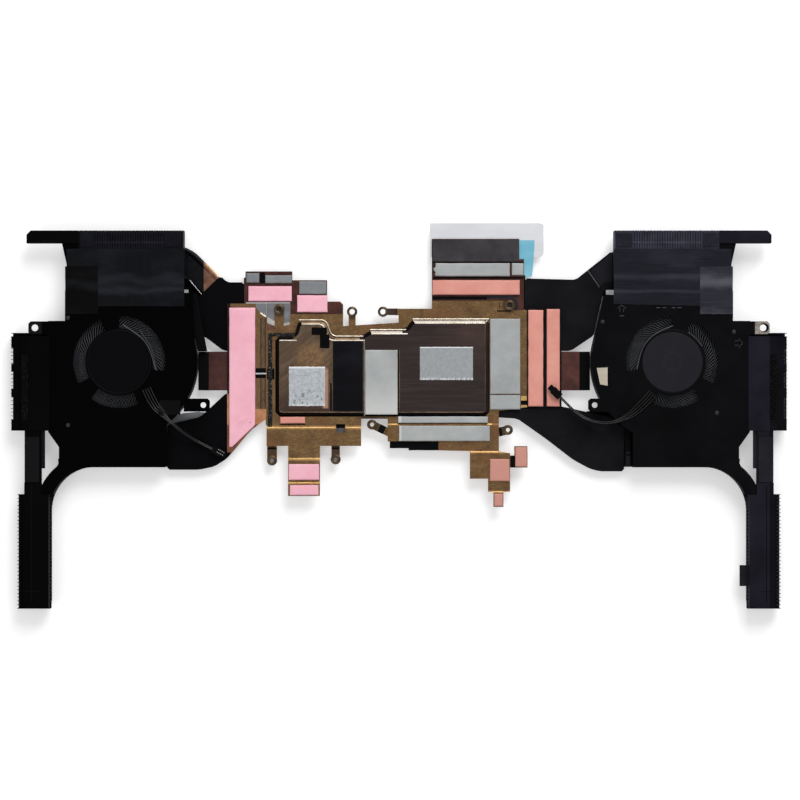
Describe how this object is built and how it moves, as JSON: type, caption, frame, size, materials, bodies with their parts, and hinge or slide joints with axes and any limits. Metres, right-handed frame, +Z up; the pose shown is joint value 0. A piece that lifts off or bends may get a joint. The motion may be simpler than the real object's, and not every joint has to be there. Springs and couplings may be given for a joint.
{
  "type": "laptop cooling module",
  "caption": "Laptop heatsink module with blower fans at both ends, flat heat pipes, fin stacks and a stamped vapour chamber with thermal pads and a sprung screw frame.",
  "frame": {"origin": "middle of the footprint, on the surface that the fan covers rest on", "axes": "+X along the module towards the graphics side, +Y towards the rear fins, +Z up towards the motherboard side"},
  "size_m": [0.3336, 0.166, 0.0106],
  "materials": {
    "plate_black": "matt black coat",
    "moulded_black": "matt moulding",
    "impeller_black": "satin",
    "magnet_grey": "sintered",
    "shaft_steel": "ground",
    "lead_black": "matt",
    "plug_black": "matt",
    "pipe_copper": "dull copper",
    "arm_black": "matt tape",
    "copper_dark": "dark oxidised copper",
    "chamber_copper": "brushed, tarnished",
    "bronze": "rolled sheet",
    "fin_black": "black oxide",
    "shroud_black": "satin",
    "tape_black": "matt film",
    "foam_black": "open foam",
    "bearing_bronze": "sintered",
    "stator_copper": "wound core",
    "label_black": "satin film",
    "compound_grey": "paste print",
    "film_white": "translucent film",
    "film_blue": "clear film",
    "pad_pink": "soft pad",
    "pad_grey": "soft pad",
    "pad_salmon": "soft pad"
  },
  "bodies": {
    "module": {"bar_pipes": "pipe_copper", "black_tapes": "tape_black", "cpu_compound": "compound_grey", "cpu_grey_pads": "pad_grey", "cpu_pink_pads": "pad_pink", "cpu_regulator_plate": "copper_dark", "end_baffles": "shroud_black", "fan_bearings": "bearing_bronze", "fan_foams": "foam_black", "fan_stators": "stator_copper", "film_tab": "film_blue", "gpu_compound": "compound_grey", "gpu_grey_pads": "pad_grey", "gpu_regulator_plate": "copper_dark", "gpu_salmon_pads": "pad_salmon", "hub_labels": "label_black", "left_duct_tapes": "tape_black", "left_fan_base_plate": "plate_black", "left_fan_cover": "plate_black", "left_fan_lead": "lead_black", "left_fan_plug": "plug_black", "left_fan_wall": "moulded_black", "left_leg_fins": "fin_black", "left_leg_shroud": "shroud_black", "left_lower_arm_plate": "arm_black", "left_lower_pipe": "pipe_copper", "left_pink_pad": "pad_pink", "left_rear_fins": "fin_black", "left_side_fins": "fin_black", "left_side_shroud": "shroud_black", "left_spreader": "copper_dark", "left_upper_arm_plate": "arm_black", "left_upper_pipe": "pipe_copper", "mid_plates": "copper_dark", "release_film": "film_white", "right_duct_tapes": "tape_black", "right_fan_base_plate": "plate_black", "right_fan_cover": "plate_black", "right_fan_lead": "lead_black", "right_fan_plug": "plug_black", "right_fan_wall": "moulded_black", "right_leg_fins": "fin_black", "right_leg_shroud": "shroud_black", "right_lower_arm_plate": "arm_black", "right_lower_pipe": "pipe_copper", "right_rear_fins": "fin_black", "right_side_fins": "fin_black", "right_side_shroud": "shroud_black", "right_spreader": "arm_black", "right_upper_arm_plate": "arm_black", "right_upper_pipe": "pipe_copper", "spring_frame": "bronze", "vapour_chamber": "chamber_copper"},
    "left_rotor": {"left_impeller": "impeller_black", "left_rotor_magnet": "magnet_grey", "left_shaft": "shaft_steel"},
    "right_rotor": {"right_impeller": "impeller_black", "right_rotor_magnet": "magnet_grey", "right_shaft": "shaft_steel"}
  },
  "joints": [
    {"name": "left_fan_spin", "type": "hinge", "parent": "module", "child": "left_rotor", "pos_m": [-0.12, 0.023, 0.0043], "axis": [0, 0, 1], "continuous": true},
    {"name": "right_fan_spin", "type": "hinge", "parent": "module", "child": "right_rotor", "pos_m": [0.1172, 0.023, 0.0043], "axis": [0, 0, 1], "continuous": true}
  ]
}
